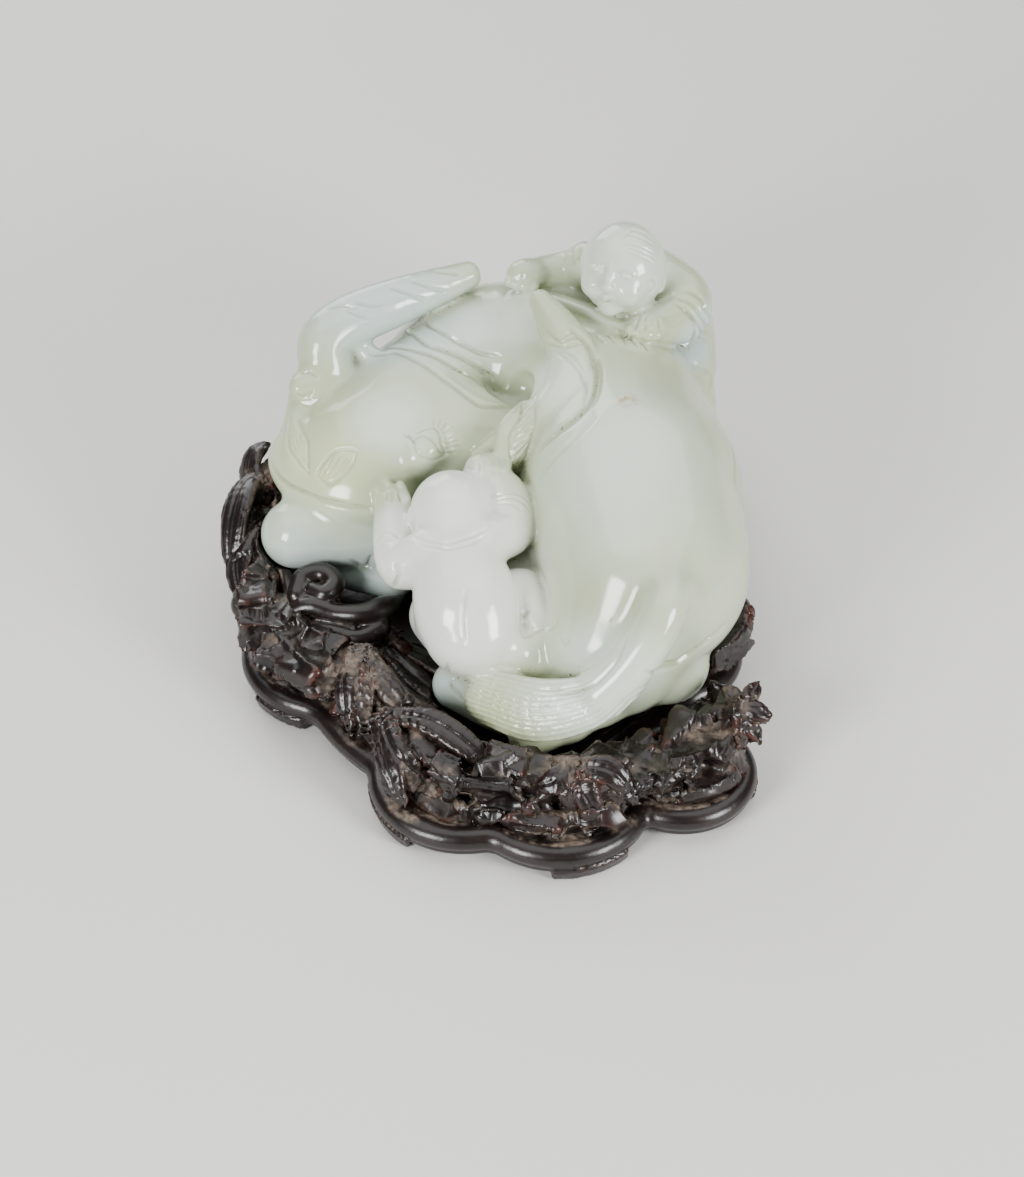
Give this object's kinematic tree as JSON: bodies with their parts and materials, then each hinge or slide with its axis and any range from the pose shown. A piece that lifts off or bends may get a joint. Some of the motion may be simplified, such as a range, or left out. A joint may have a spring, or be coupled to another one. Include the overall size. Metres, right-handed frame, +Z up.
{
  "type": "jade buffalo carving",
  "caption": "Recumbent water buffalo with climbing boys carved from pale green jade, resting in the fitted well of a dark carved wood rockwork stand.",
  "frame": {"origin": "on the table, under the middle of the stand", "axes": "+Z up; +Y from the viewer in front towards the back of the group, along the stand's longer side; +X to the viewer's right"},
  "size_m": [0.174, 0.2216, 0.1124],
  "materials": {
    "dark_wood": "carved, waxed, near-black brown with worn red-brown edges and dust in the hollows",
    "pale_jade": "polished translucent pale celadon jade"
  },
  "bodies": {
    "root": {"wood_stand": "dark_wood", "jade_buffalo_group": "pale_jade"}
  },
  "joints": []
}
